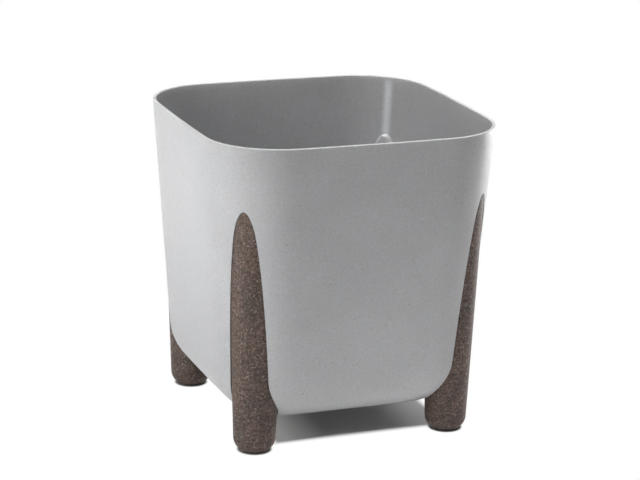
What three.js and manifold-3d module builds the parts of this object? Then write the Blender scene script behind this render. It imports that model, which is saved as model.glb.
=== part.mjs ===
// A square plastic planter: a tapered pot with bowed sides on four legs let into its corners.
// Millimetres, +Z up. The origin is on the ground under the middle of the pot.
// The front is -Y and the left is -X.

import * as THREE from "three";
import { mergeVertices } from "three/addons/utils/BufferGeometryUtils.js";
import Module from "manifold-3d";

const wasm = await Module();
wasm.setup();

// Pot
const POT_HEIGHT = 306.5; // ground to rim
const POT_UNDERSIDE = 25.8; // ground to the underside of the floor
const RIM_WIDTH = 295; // over the middles of opposite sides
const BASE_WIDTH = 257; // the same, where the walls would meet the underside
const RIM_CORNER_RADIUS = 72;
const BASE_CORNER_RADIUS = 66;
const RIM_SIDE_BOW = 4.1; // rise of a side over its chord
const BASE_SIDE_BOW = 2.4;
const BOTTOM_ROUNDING = 49; // between the walls and the underside
const WALL = 3.2;
const FLOOR = 3.2;

// Legs and the sockets that hold them
const FOOT_INSET = 11.8; // from the base's corner in to the middle of the foot
const FOOT_DIAMETER = 40.2; // of the leg's outside at the ground
const FOOT_ROUNDING = 13.9; // radius of the foot's edge
const FOOT_UNDERCUT = 3; // how far that edge would run on under the foot's flat ring
const FOOT_LAND = 3.5; // width of the foot's flat ring
const HEAD_DIAMETER = 55.8; // of the leg's outside at the height of its tip
const HEAD_DEPTH = 0.4; // from the pot's corner in to that outside
const TIP_HEIGHT = 243.3; // ground to the tip of the leg
const TIP_DEPTH = 0.8; // from the pot's corner in to the tip
const BACK_RADIUS = 26; // at the ground, of the pointed form that shapes the leg's back
const SOCKET_CLEARANCE = 0.4; // round the leg's back and tip
const SOCKET_MOUTH_CLEARANCE = 1.3; // round the leg's outside, at the ground
const CORE_DEPTH = 90; // of the hollow in the leg's underside
const CORE_WALL = 5; // behind the top of that hollow

// Foot glides
const GLIDE_HEIGHT = 1.5; // ground to the underside of the leg
const GLIDE_SETBACK = 2; // from the edge of the foot's flat ring
const GLIDE_SPIGOT_LENGTH = 7;
const GLIDE_CLEARANCE = 0.4; // between the spigot and the hollow

// Leg screws and their seals
const SCREW_HEIGHT = 75; // ground to the screw's axis
const SCREW_LENGTH = 17; // under the head
const SCREW_POINT_LENGTH = 4;
const SCREW_DIAMETER = 4;
const SCREW_CLEARANCE = 0.3;
const SCREW_HEAD_DIAMETER = 8;
const SCREW_HEAD_HEIGHT = 2.6;
const SCREW_HEAD_RIM = 0.9; // straight edge under the head's dome
const DRIVE_WIDTH = 1.2; // of the crossed slots
const DRIVE_LENGTH = 4.6;
const DRIVE_DEPTH = 1.4;
const SEAL_DIAMETER = 11;
const SEAL_THICKNESS = 1.5;
const SEAT_DIAMETER = 15; // of the flat pad under the seal
const SEAT_PROUD = 1.2; // how far the pad stands off the socket's wall

// Drain plug
const PLUG_STEM_DIAMETER = 17.4;
const PLUG_STEM_TAPER = 0.8; // lost from the stem's diameter at its end
const PLUG_REACH = 3; // how far the stem stands out under the floor
const PLUG_CLEARANCE = 0.3;
const PLUG_FLANGE_DIAMETER = 27;
const PLUG_FLANGE_THICKNESS = 2.4;
const PLUG_NECK_DIAMETER = 7;
const PLUG_NECK_HEIGHT = 4.5;
const PLUG_KNOB_DIAMETER = 14;
const PLUG_KNOB_HEIGHT = 5;

// Gap that parts keep where one rests on another
const CONTACT_GAP = 0.25;

// Fineness of the round surfaces
const CORNER_STEPS = 10;
const SIDE_STEPS = 4;
const ROUNDING_STEPS = 7;
const LEG_STEPS = 28;
const BACK_STEPS = 9;
const FOOT_STEPS = 5;
const SMALL_STEPS = 16;

// How far a cutting form runs past what it cuts
const CUT_MARGIN = 2;

const { lerp } = THREE.MathUtils;

const plastic = new THREE.MeshStandardMaterial({ color: 0xb9babb, roughness: 0.55, metalness: 0 });
const composite = new THREE.MeshStandardMaterial({ color: 0x62554d, roughness: 0.75, metalness: 0 });
const darkRubber = new THREE.MeshStandardMaterial({ color: 0x222120, roughness: 0.85, metalness: 0 });
const steel = new THREE.MeshStandardMaterial({ color: 0xb4b4b0, roughness: 0.35, metalness: 1 });
const plugRubber = new THREE.MeshStandardMaterial({ color: 0x4a4b4d, roughness: 0.8, metalness: 0 });

// Solids

function solidFrom(geometry) {
  const bare = geometry.clone();
  bare.deleteAttribute("normal");
  bare.deleteAttribute("uv");
  const merged = mergeVertices(bare, 1e-4);
  const corners = merged.index.array;
  const triangles = [];
  for (let i = 0; i < corners.length; i += 3) {
    const [a, b, c] = corners.slice(i, i + 3);
    const collapsed = a === b || b === c || c === a;
    if (!collapsed) triangles.push(a, b, c);
  }
  return new wasm.Manifold(
    new wasm.Mesh({
      numProp: 3,
      vertProperties: new Float32Array(merged.attributes.position.array),
      triVerts: new Uint32Array(triangles),
    }),
  );
}

function geometryFrom(solid) {
  const { vertProperties, triVerts } = solid.getMesh();
  const geometry = new THREE.BufferGeometry();
  geometry.setAttribute("position", new THREE.BufferAttribute(vertProperties, 3));
  geometry.setIndex(new THREE.BufferAttribute(triVerts, 1));
  geometry.computeVertexNormals();
  return geometry;
}

// A round form about +Z from [radius, height] points, listed upwards on the outside.
function turned(points, steps) {
  const profile = points.map(([radius, height]) => new THREE.Vector2(radius, height));
  return new THREE.LatheGeometry(profile, steps).rotateX(Math.PI / 2);
}

function cylinder(radius, low, high, steps) {
  return turned([[0, low], [radius, low], [radius, high], [0, high]], steps);
}

// Closes a stack of equal rings, listed upwards, each anticlockwise from above.
function lofted(rings) {
  const count = rings[0].length;
  const middle = (ring) => ring.reduce((sum, p) => sum.add(p), new THREE.Vector3()).divideScalar(count);
  const points = [...rings.flat(), middle(rings[0]), middle(rings.at(-1))];
  const bottom = points.length - 2;
  const top = points.length - 1;
  const lastRing = (rings.length - 1) * count;
  const index = [];
  for (let j = 0; j < count; j += 1) {
    const next = (j + 1) % count;
    index.push(bottom, next, j, top, lastRing + j, lastRing + next);
    for (let low = 0; low < lastRing; low += count) {
      const high = low + count;
      index.push(low + j, low + next, high + next, low + j, high + next, high + j);
    }
  }
  const geometry = new THREE.BufferGeometry().setFromPoints(points);
  geometry.setIndex(index);
  return geometry;
}

// Pot walls

// The arcs of the pot's section at height z: a corner arc about (corner, corner) and a side arc
// about (-offset, 0), which meet at the angle meet.
function potArcs(z) {
  const share = (z - POT_UNDERSIDE) / (POT_HEIGHT - POT_UNDERSIDE);
  const half = lerp(BASE_WIDTH, RIM_WIDTH, share) / 2;
  const radius = lerp(BASE_CORNER_RADIUS, RIM_CORNER_RADIUS, share);
  const bow = lerp(BASE_SIDE_BOW, RIM_SIDE_BOW, share);
  const sideRadius = (half * half + bow * bow) / (2 * bow);
  const offset = sideRadius - half;
  const corner = (Math.sqrt(2 * (sideRadius - radius) ** 2 - offset ** 2) - offset) / 2;
  return { radius, sideRadius, offset, corner, meet: Math.atan2(corner, corner + offset) };
}

// How far the pot's corner reaches along the diagonal at height z, without the bottom rounding.
function cornerReach(z) {
  const { corner, radius } = potArcs(z);
  return Math.SQRT2 * corner + radius;
}

// The pot's section at height z, drawn in by inset all round.
function potRing(z, inset) {
  const { radius, sideRadius, offset, corner, meet } = potArcs(z);
  const side = [];
  for (let i = 1; i < SIDE_STEPS; i += 1) {
    const angle = lerp(-meet, meet, i / SIDE_STEPS);
    const reach = sideRadius - inset;
    side.push([reach * Math.cos(angle) - offset, reach * Math.sin(angle)]);
  }
  const bend = [];
  for (let i = 0; i <= CORNER_STEPS; i += 1) {
    const angle = lerp(meet, Math.PI / 2 - meet, i / CORNER_STEPS);
    const reach = radius - inset;
    bend.push([corner + reach * Math.cos(angle), corner + reach * Math.sin(angle)]);
  }
  const quarter = [...side, ...bend].map(([x, y]) => new THREE.Vector3(x, y, z));
  const up = new THREE.Vector3(0, 0, 1);
  return [0, 1, 2, 3].flatMap((turn) => quarter.map((p) => p.clone().applyAxisAngle(up, turn * Math.PI / 2)));
}

// The pot's form, drawn in by inset, from its rounded bottom to the height top.
function potForm(inset, bottom, top) {
  const rounding = BOTTOM_ROUNDING - inset;
  const rings = [];
  for (let i = 0; i <= ROUNDING_STEPS; i += 1) {
    const angle = (i / ROUNDING_STEPS) * Math.PI / 2;
    const height = bottom + rounding * (1 - Math.cos(angle));
    rings.push(potRing(height, inset + rounding * (1 - Math.sin(angle))));
  }
  rings.push(potRing(top, inset));
  return lofted(rings);
}

// Legs, in the frame of one corner: +X runs out along the pot's diagonal

const FOOT_REACH = cornerReach(POT_UNDERSIDE) - FOOT_INSET;
const TIP_REACH = cornerReach(TIP_HEIGHT) - TIP_DEPTH;
const HEAD_REACH = cornerReach(TIP_HEIGHT) - HEAD_DEPTH - HEAD_DIAMETER / 2;

// How much wider than the leg a form is: at the ground, outside, and round the back and tip.
const LEG_FIT = { mouth: 0, tip: 0 };
const SOCKET_FIT = { mouth: SOCKET_MOUTH_CLEARANCE, tip: SOCKET_CLEARANCE };
const LINING_FIT = { mouth: SOCKET_MOUTH_CLEARANCE + WALL, tip: SOCKET_CLEARANCE + WALL };

function outsideRadius(z, fit) {
  const share = z / TIP_HEIGHT;
  return lerp(FOOT_DIAMETER, HEAD_DIAMETER, share) / 2 + lerp(fit.mouth, fit.tip, share);
}

// Leans an upright form so that its axis runs from the foot's middle to reach at the tip's height.
function leaning(geometry, reach) {
  const slope = (reach - FOOT_REACH) / TIP_HEIGHT;
  const shear = new THREE.Matrix4().makeShear(0, 0, 0, 0, slope, 0);
  return geometry.applyMatrix4(shear).translate(FOOT_REACH, 0, 0);
}

// The cone that shapes the outside of the leg, on a given foot profile.
function outsideForm(foot, fit) {
  const top = TIP_HEIGHT + fit.tip + CUT_MARGIN;
  const points = [...foot, [outsideRadius(top, fit), top], [0, top]];
  return leaning(turned(points, LEG_STEPS), HEAD_REACH);
}

// The pointed form that shapes the leg's hidden back: half an ellipse turned about its long axis.
function backForm(fit) {
  const low = -FOOT_ROUNDING;
  const points = [[0, low], [BACK_RADIUS + fit.tip, low]];
  for (let i = 0; i < BACK_STEPS; i += 1) {
    const angle = (i / BACK_STEPS) * Math.PI / 2;
    const across = Math.cos(angle);
    const along = Math.sin(angle);
    const grown = new THREE.Vector2(across / BACK_RADIUS, along / TIP_HEIGHT).setLength(fit.tip);
    points.push([BACK_RADIUS * across + grown.x, TIP_HEIGHT * along + grown.y]);
  }
  return leaning(turned([...points, [0, TIP_HEIGHT + fit.tip]], LEG_STEPS), TIP_REACH);
}

// Where the back of the leg, or of a form that fits it, lies along the diagonal at height z.
function backReach(z, fit) {
  const share = z / TIP_HEIGHT;
  const outside = lerp(FOOT_REACH, HEAD_REACH, share) - outsideRadius(z, fit);
  const back = lerp(FOOT_REACH, TIP_REACH, share) - BACK_RADIUS * Math.sqrt(1 - share ** 2) - fit.tip;
  return Math.max(outside, back);
}

// The space that a leg and its fit take up in the pot.
function socketForm(fit) {
  const foot = [[0, 0], [outsideRadius(0, fit), 0]];
  return solidFrom(outsideForm(foot, fit)).intersect(solidFrom(backForm(fit)));
}

// The foot's rounded edge, as a profile from the leg's underside up to its outside.
function footProfile() {
  const middle = GLIDE_HEIGHT - FOOT_UNDERCUT + FOOT_ROUNDING;
  const start = Math.asin(1 - FOOT_UNDERCUT / FOOT_ROUNDING);
  const points = [];
  for (let i = 0; i <= FOOT_STEPS; i += 1) {
    const angle = lerp(start, 0, i / FOOT_STEPS);
    const height = middle - FOOT_ROUNDING * Math.sin(angle);
    points.push([outsideRadius(height, LEG_FIT) - FOOT_ROUNDING * (1 - Math.cos(angle)), height]);
  }
  return points;
}

const FOOT_FLAT_RADIUS = footProfile()[0][0];
const CORE_MOUTH_RADIUS = FOOT_FLAT_RADIUS - FOOT_LAND;
const CORE_TOP = GLIDE_HEIGHT + CORE_DEPTH;
const CORE_TOP_RADIUS = FOOT_REACH - backReach(CORE_TOP, LEG_FIT) - CORE_WALL;

// The hollow's radius at height z: it narrows evenly from the leg's underside upwards.
function coreRadius(z) {
  return lerp(CORE_MOUTH_RADIUS, CORE_TOP_RADIUS, (z - GLIDE_HEIGHT) / CORE_DEPTH);
}

function coreForm() {
  const low = GLIDE_HEIGHT - CUT_MARGIN;
  const points = [[0, low], [coreRadius(low), low], [CORE_TOP_RADIUS, CORE_TOP], [0, CORE_TOP]];
  return solidFrom(turned(points, LEG_STEPS).translate(FOOT_REACH, 0, 0));
}

// Turns an upright form about the corner's screw axis: its +Z then points out along the diagonal.
function alongScrew(geometry, from) {
  return geometry.rotateY(Math.PI / 2).translate(from, 0, SCREW_HEIGHT);
}

const SEAT_REACH = backReach(SCREW_HEIGHT, LINING_FIT) - SEAT_PROUD;
const SCREW_BORE_RADIUS = SCREW_DIAMETER / 2 + SCREW_CLEARANCE;
const SCREW_REACH = SEAT_REACH - 2 * CONTACT_GAP - SEAL_THICKNESS;

function screwBore(from, length) {
  return solidFrom(alongScrew(cylinder(SCREW_BORE_RADIUS, 0, length, SMALL_STEPS), from));
}

function legGeometry() {
  const outside = solidFrom(outsideForm([[0, GLIDE_HEIGHT], ...footProfile()], LEG_FIT));
  const body = outside.intersect(solidFrom(backForm(LEG_FIT)));
  const bore = screwBore(SEAT_REACH, FOOT_REACH - SEAT_REACH);
  return geometryFrom(body.subtract(coreForm()).subtract(bore));
}

function glideGeometry() {
  const top = GLIDE_HEIGHT - CONTACT_GAP;
  const edge = FOOT_FLAT_RADIUS - GLIDE_SETBACK;
  const end = top + GLIDE_SPIGOT_LENGTH;
  const spigot = [top, end].map((z) => [coreRadius(z) - GLIDE_CLEARANCE, z]);
  const points = [[0, 0], [edge, 0], [edge, top], ...spigot, [0, end]];
  return turned(points, LEG_STEPS).translate(FOOT_REACH, 0, 0);
}

function screwGeometry() {
  const head = SCREW_HEAD_DIAMETER / 2;
  const shank = SCREW_DIAMETER / 2;
  const domeHeight = SCREW_HEAD_HEIGHT - SCREW_HEAD_RIM;
  const dome = new THREE.EllipseCurve(0, -SCREW_HEAD_RIM, head, domeHeight, -Math.PI / 2, 0);
  const points = dome.getPoints(FOOT_STEPS).map((p) => [p.x, p.y]);
  points[0][0] = 0;
  points.push([head, 0], [shank, 0], [shank, SCREW_LENGTH - SCREW_POINT_LENGTH], [0, SCREW_LENGTH]);
  const slot = new THREE.BoxGeometry(DRIVE_LENGTH, DRIVE_WIDTH, 2 * DRIVE_DEPTH);
  slot.translate(0, 0, -SCREW_HEAD_HEIGHT);
  const crossSlot = slot.clone().rotateZ(Math.PI / 2);
  const body = solidFrom(turned(points, SMALL_STEPS));
  return alongScrew(geometryFrom(body.subtract(solidFrom(slot)).subtract(solidFrom(crossSlot))), SCREW_REACH);
}

function sealGeometry() {
  const inner = SCREW_BORE_RADIUS;
  const outer = SEAL_DIAMETER / 2;
  const ring = [[inner, 0], [outer, 0], [outer, SEAL_THICKNESS], [inner, SEAL_THICKNESS], [inner, 0]];
  return alongScrew(turned(ring, SMALL_STEPS), SEAT_REACH - CONTACT_GAP - SEAL_THICKNESS);
}

// Pot and plug

const FLOOR_TOP = POT_UNDERSIDE + FLOOR;
const DRAIN_RADIUS = PLUG_STEM_DIAMETER / 2 + PLUG_CLEARANCE;

const CORNERS = [
  { name: "back_right", turn: Math.PI / 4 },
  { name: "back_left", turn: (3 * Math.PI) / 4 },
  { name: "front_left", turn: (5 * Math.PI) / 4 },
  { name: "front_right", turn: (7 * Math.PI) / 4 },
];

// The inside lining of one socket: its wall, with the flat pad under the screw's seal.
function socketLining() {
  const pad = cylinder(SEAT_DIAMETER / 2, 0, FOOT_REACH - SEAT_REACH, SMALL_STEPS);
  return socketForm(LINING_FIT).add(solidFrom(alongScrew(pad, SEAT_REACH)));
}

function potGeometry() {
  const socket = socketForm(SOCKET_FIT);
  const lining = socketLining();
  const bore = screwBore(SEAT_REACH - CUT_MARGIN, FOOT_REACH - SEAT_REACH);
  let outside = solidFrom(potForm(0, POT_UNDERSIDE, POT_HEIGHT));
  let inside = solidFrom(potForm(WALL, FLOOR_TOP, POT_HEIGHT + CUT_MARGIN));
  for (const { turn } of CORNERS) {
    const degrees = THREE.MathUtils.radToDeg(turn);
    const turnedHere = (solid) => solid.rotate([0, 0, degrees]);
    outside = outside.subtract(turnedHere(socket)).subtract(turnedHere(bore));
    inside = inside.subtract(turnedHere(lining));
  }
  const drain = cylinder(DRAIN_RADIUS, POT_UNDERSIDE - CUT_MARGIN, FLOOR_TOP + CUT_MARGIN, SMALL_STEPS);
  return geometryFrom(outside.subtract(inside).subtract(solidFrom(drain)));
}

function plugGeometry() {
  const stem = PLUG_STEM_DIAMETER / 2;
  const flange = PLUG_FLANGE_DIAMETER / 2;
  const neck = PLUG_NECK_DIAMETER / 2;
  const knob = PLUG_KNOB_DIAMETER / 2;
  const seat = FLOOR_TOP + CONTACT_GAP;
  const flangeTop = seat + PLUG_FLANGE_THICKNESS;
  const knobLow = flangeTop + PLUG_NECK_HEIGHT;
  const points = [[0, POT_UNDERSIDE - PLUG_REACH], [stem - PLUG_STEM_TAPER / 2, POT_UNDERSIDE - PLUG_REACH]];
  points.push([stem, seat], [flange, seat], [flange, flangeTop], [neck, flangeTop], [neck, knobLow]);
  points.push([knob, knobLow], [knob, knobLow + PLUG_KNOB_HEIGHT / 2], [neck, knobLow + PLUG_KNOB_HEIGHT]);
  points.push([0, knobLow + PLUG_KNOB_HEIGHT]);
  return turned(points, SMALL_STEPS);
}

// Assembly

function piece(name, geometry, material) {
  const mesh = new THREE.Mesh(geometry, material);
  mesh.name = name;
  return mesh;
}

const planter = new THREE.Group();
planter.add(piece("pot_shell", potGeometry(), plastic));
planter.add(piece("drain_plug", plugGeometry(), plugRubber));

const leg = legGeometry();
const glide = glideGeometry();
const screw = screwGeometry();
const seal = sealGeometry();
for (const { name, turn } of CORNERS) {
  const corner = new THREE.Group();
  corner.rotation.z = turn;
  corner.add(piece(`leg_${name}`, leg, composite));
  corner.add(piece(`foot_glide_${name}`, glide, darkRubber));
  corner.add(piece(`leg_screw_${name}`, screw, steel));
  corner.add(piece(`seal_washer_${name}`, seal, darkRubber));
  planter.add(corner);
}

export default planter;
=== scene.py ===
"""A square plastic planter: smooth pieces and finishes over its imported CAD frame.

Metres, +Z up. The front is -Y and the left is -X. A piece that stands at each corner is drawn once,
in the frame of a corner, where +X runs out along the pot's diagonal, and is then repeated four times.
"""

import math
from collections import namedtuple
from functools import partialmethod

import bmesh
import bpy
import numpy as np
from mathutils import Matrix, Vector


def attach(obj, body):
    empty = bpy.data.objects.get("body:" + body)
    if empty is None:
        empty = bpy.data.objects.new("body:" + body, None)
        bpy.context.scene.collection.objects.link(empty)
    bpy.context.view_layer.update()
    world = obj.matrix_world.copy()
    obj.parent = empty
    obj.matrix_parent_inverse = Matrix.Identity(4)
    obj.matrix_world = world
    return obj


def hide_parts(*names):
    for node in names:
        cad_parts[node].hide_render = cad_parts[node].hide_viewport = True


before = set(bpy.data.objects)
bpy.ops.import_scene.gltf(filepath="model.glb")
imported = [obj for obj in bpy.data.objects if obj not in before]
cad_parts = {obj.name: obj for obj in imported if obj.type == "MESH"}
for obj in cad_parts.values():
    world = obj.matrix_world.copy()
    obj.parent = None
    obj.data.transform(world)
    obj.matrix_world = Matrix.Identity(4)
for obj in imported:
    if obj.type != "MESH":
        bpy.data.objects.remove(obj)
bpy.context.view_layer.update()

bl_info = {
    "name": "Square planter",
    "version": (1, 0, 0),
    "blender": (4, 5, 0),
    "location": "3D View > Sidebar > Planter",
    "description": "Builds a square planter on corner legs, with its finishes and a plain studio",
    "category": "Object",
}

MM = 0.001
CORNERS = ("back_right", "back_left", "front_left", "front_right")
EIGHTH_TURN = math.pi / 4
QUARTER_TURN = math.pi / 2
WHOLE_TURN = 2 * math.pi
WELD = 1e-6
SHARP_ANGLE = math.radians(38)

# Columns and rows of the smooth meshes, and steps of the searches
BACK_COLUMNS = 16
EDGE_COLUMNS = 3
WALL_COLUMNS = 26
OPENING_ROWS = 60
PLAIN_ROWS = 8
FLAT_ROWS = 5
ROUNDING_ROWS = 4
LEG_COLUMNS = 72
LEG_ROWS = {"cap": 2, "core": 4, "land": 2, "foot": 10, "rise": 72}
TURNED_STEPS = 64
SOFT_STEPS = 4
SEARCH_STEPS = 900
HALVINGS = 40

# Small roundings, and the most that a rounding takes of a line next to it or of the leg's depth
FITTING_ROUNDING = 0.5 * MM
PLUG_ROUNDING = 1.0 * MM
LINE_SHARE = 0.45
DEPTH_SHARE = 0.4
# Width of a screw's slots at their bottom, as a share of their width at the top
DRIVE_TAPER = 0.8
# How flat the ledge at the top of a socket's lining runs before it turns to the wall
LEDGE_FLATNESS = 5.0


# Sizes and colours that a user may change


def number(name, description, value, **kind):
    return bpy.props.FloatProperty(name=name, description=description, default=value, min=0.0, **kind)


def length(name, description, millimetres):
    return number(name, description, millimetres * MM, precision=4, unit="LENGTH")


def power(name, description, watts):
    return number(name, description, watts, unit="POWER")


def angle(name, description, degrees):
    turn = math.radians(degrees)
    return bpy.props.FloatProperty(name=name, description=description, default=turn, subtype="ANGLE")


def colour(name, description, red, green, blue):
    return bpy.props.FloatVectorProperty(
        name=name, description=description, default=(red, green, blue), min=0.0, max=1.0, subtype="COLOR"
    )


def group(kind, name, description):
    return bpy.props.PointerProperty(type=kind, name=name, description=description)


class PlanterPotSizes(bpy.types.PropertyGroup):
    height: length("Height", "Ground to rim", 306.5)
    underside: length("Underside", "Ground to the underside of the floor", 25.8)
    rim_width: length("Rim width", "Over the middles of opposite sides", 295)
    base_width: length("Base width", "The same, where the walls would meet the underside", 257)
    rim_corner_radius: length("Rim corner radius", "Radius of a corner at the rim", 72)
    base_corner_radius: length("Base corner radius", "Radius of a corner at the underside", 66)
    rim_bow: length("Rim bow", "Rise of a side over its chord at the rim", 4.1)
    base_bow: length("Base bow", "Rise of a side over its chord at the underside", 2.4)
    bottom_rounding: length("Bottom rounding", "Between the walls and the underside", 49)
    wall: length("Wall", "Thickness of the walls", 3.2)
    floor: length("Floor", "Thickness of the floor", 3.2)
    rim_rounding: length("Rim rounding", "Radius of the rim's two edges", 0.8)
    mouth_rounding: length("Socket edge", "Rounding of the edge round each leg", 0.5)
    lining_fillet: length("Lining fillet", "Fillet between a socket's lining and the wall", 0.8)
    ledge_depth: length("Ledge depth", "How far the top of a lining stands off the wall", 5.6)
    ledge_rounding: length("Ledge rounding", "Height of the rounding of that top", 1.6)
    ledge_height: length("Ledge height", "Of the upright face under it", 11)
    drain_rounding: length("Drain edge", "Rounding of the drain hole's edges", 0.6)


class PlanterLegSizes(bpy.types.PropertyGroup):
    foot_inset: length("Foot inset", "From the base's corner in to the middle of the foot", 11.8)
    foot_diameter: length("Foot diameter", "Of the leg's outside at the ground", 40.2)
    foot_rounding: length("Foot rounding", "Radius of the foot's edge", 13.9)
    foot_undercut: length("Foot undercut", "How far that edge would run on under the flat ring", 3)
    foot_land: length("Foot land", "Width of the foot's flat ring", 3.5)
    head_diameter: length("Head diameter", "Of the leg's outside at the height of its tip", 55.8)
    head_depth: length("Head depth", "From the pot's corner in to that outside", 0.4)
    tip_height: length("Tip height", "Ground to the tip of the leg", 243.3)
    tip_depth: length("Tip depth", "From the pot's corner in to the tip", 0.8)
    back_radius: length("Back radius", "At the ground, of the form that shapes the leg's back", 26)
    edge_rounding: length("Edge rounding", "Softening of the edge between outside and back", 0.9)
    core_depth: length("Core depth", "Of the hollow in the leg's underside", 90)
    core_wall: length("Core wall", "Behind the top of that hollow", 5)
    clearance: length("Socket clearance", "Between the leg's back and its socket", 0.4)
    mouth_clearance: length("Mouth clearance", "Between the leg's outside and socket, at the ground", 1.0)


class PlanterFittingSizes(bpy.types.PropertyGroup):
    glide_height: length("Glide height", "Ground to the underside of the leg", 1.5)
    glide_setback: length("Glide setback", "From the edge of the foot's flat ring", 2)
    spigot_length: length("Spigot length", "Of the glide, up into the leg", 7)
    glide_clearance: length("Glide clearance", "Between the spigot and the leg's hollow", 0.4)
    screw_height: length("Screw height", "Ground to the screw's axis", 75)
    screw_length: length("Screw length", "Under the head", 17)
    screw_point: length("Screw point", "Length of the point", 4)
    screw_diameter: length("Screw diameter", "Of the shank", 4)
    screw_clearance: length("Screw clearance", "Round the shank", 0.3)
    head_diameter: length("Head diameter", "Of the screw's head", 8)
    head_height: length("Head height", "Of the screw's head", 2.6)
    head_rim: length("Head rim", "Straight edge under the head's dome", 0.9)
    drive_width: length("Drive width", "Of the crossed slots", 1.2)
    drive_length: length("Drive length", "Of the crossed slots", 4.6)
    drive_depth: length("Drive depth", "Of the crossed slots", 1.4)
    seal_diameter: length("Seal diameter", "Of the washer under the head", 11)
    seal_thickness: length("Seal thickness", "Of that washer", 1.5)
    seat_diameter: length("Seat diameter", "Of the flat pad under the washer", 15)
    seat_proud: length("Seat proud", "How far the pad stands off the socket's wall", 1.2)
    contact_gap: length("Contact gap", "Kept where one piece rests on another", 0.25)


class PlanterPlugSizes(bpy.types.PropertyGroup):
    stem_diameter: length("Stem diameter", "Of the stem in the drain hole", 17.4)
    stem_taper: length("Stem taper", "Lost from the stem's diameter at its end", 0.8)
    reach: length("Reach", "How far the stem stands out under the floor", 3)
    clearance: length("Clearance", "Between the stem and the drain hole", 0.3)
    flange_diameter: length("Flange diameter", "Of the flange on the floor", 27)
    flange_thickness: length("Flange thickness", "Of that flange", 2.4)
    neck_diameter: length("Neck diameter", "Between the flange and the knob", 7)
    neck_height: length("Neck height", "Between the flange and the knob", 4.5)
    knob_diameter: length("Knob diameter", "Of the pull knob", 14)
    knob_height: length("Knob height", "Of the pull knob", 5)


class PlanterColours(bpy.types.PropertyGroup):
    pot: colour("Pot", "Light grey plastic", 0.480, 0.481, 0.488)
    pot_dark_speck: colour("Pot dark speck", "Fibres in the plastic", 0.205, 0.195, 0.185)
    pot_pale_speck: colour("Pot pale speck", "Pale grains in the plastic", 0.640, 0.645, 0.650)
    # Painted highlight: a pale colour laid into the pot's inner corner above a socket, standing in for a
    # highlight
    painted_highlight: colour("Painted highlight", "Pale line where the plastic met above a socket", 0.880, 0.900, 0.925)
    leg: colour("Leg", "Brown composite", 0.106, 0.071, 0.056)
    leg_shade: colour("Leg shade", "Darker patches of the composite", 0.068, 0.047, 0.038)
    leg_fleck: colour("Leg fleck", "Pale fibres in the composite", 0.340, 0.268, 0.222)
    rubber: colour("Rubber", "Glides and washers", 0.014, 0.014, 0.013)
    plug: colour("Plug", "Dark grey rubber", 0.066, 0.068, 0.070)
    dust: colour("Dust", "Pale specks on the rubber", 0.200, 0.200, 0.190)
    steel: colour("Steel", "Stainless screws", 0.560, 0.555, 0.540)
    floor: colour("Floor", "Studio floor", 0.800, 0.800, 0.800)
    floor_shadow: colour("Floor shadow", "The floor where its shadow shows", 0.500, 0.500, 0.490)


class PlanterStage(bpy.types.PropertyGroup):
    azimuth: angle("Azimuth", "Of the camera, from the front towards the right", -21.198)
    elevation: angle("Elevation", "Of the camera above the ground", 16.184)
    roll: angle("Roll", "Of the camera about its own axis", 1.276)
    distance: length("Distance", "Of the camera from the point that it looks at", 2252.9)
    aim_right: length("Aim right", "Of that point, to the camera's right of the middle", 1.686)
    aim_height: length("Aim height", "Of that point above the ground", 173.229)
    lens: number("Lens", "Focal length of the camera", 126.93, unit="CAMERA")
    sensor: number("Sensor", "Width of the camera's sensor", 36, unit="CAMERA")
    ambient: number("Ambient", "Strength of the light from all round", 0.05, soft_max=1.0, subtype="FACTOR")
    key: power("Key", "Of the large lamp on the upper left", 5.4)
    fill: power("Fill", "Of the large lamp in front on the left", 6.6)
    side: power("Side", "Of the narrow lamp on the left, below the rim", 0.32)
    top: power("Top", "Of the lamp above", 7.1)
    edge: power("Edge", "Of the low strip behind on the right", 1.36)


class PlanterSettings(bpy.types.PropertyGroup):
    pot: group(PlanterPotSizes, "Pot", "Sizes of the pot")
    leg: group(PlanterLegSizes, "Leg", "Sizes of a leg and its socket")
    fitting: group(PlanterFittingSizes, "Fittings", "Sizes of the glides, screws and washers")
    plug: group(PlanterPlugSizes, "Plug", "Sizes of the drain plug")
    colours: group(PlanterColours, "Colours", "Colours of the finishes")
    stage: group(PlanterStage, "Stage", "The camera and the lamps")


# Objects and meshes


def mix(first, last, share):
    return first + (last - first) * share


def new_object(name, data):
    made = bpy.data.objects.new(name, data)
    bpy.context.scene.collection.objects.link(made)
    return made


def mesh_from(name, points, faces):
    mesh = bpy.data.meshes.new(name)
    mesh.from_pydata([tuple(p) for p in points], [], faces)
    mesh.update()
    return mesh


def welded(mesh):
    """Joins points that lie on each other and drops the faces that vanish with them."""
    work = bmesh.new()
    work.from_mesh(mesh)
    bmesh.ops.remove_doubles(work, verts=work.verts, dist=WELD)
    bmesh.ops.dissolve_degenerate(work, edges=work.edges, dist=WELD)
    work.to_mesh(mesh)
    work.free()
    return mesh


def settle(piece):
    """Makes what the modifiers show the object's own plain mesh."""
    graph = bpy.context.evaluated_depsgraph_get()
    result = bpy.data.meshes.new_from_object(
        piece.evaluated_get(graph), preserve_all_data_layers=True, depsgraph=graph
    )
    piece.modifiers.clear()
    before = piece.data
    piece.data = result
    bpy.data.meshes.remove(before)
    result.name = piece.name
    return piece


def combine(piece, tool, operation):
    """Joins a tool to a piece, or cuts it out, and removes the tool."""
    modifier = piece.modifiers.new(operation, "BOOLEAN")
    modifier.operation = operation
    modifier.solver = "MANIFOLD"
    modifier.object = tool
    settle(piece)
    welded(piece.data)
    bpy.data.objects.remove(tool)


def hand_over(piece, body, stands_for):
    """Smooths a finished piece and puts it in the frame in place of the CAD nodes that it stands for."""
    piece.data.shade_smooth()
    piece.data.set_sharp_from_angle(angle=SHARP_ANGLE)
    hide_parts(*stands_for)
    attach(piece, body)


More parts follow.
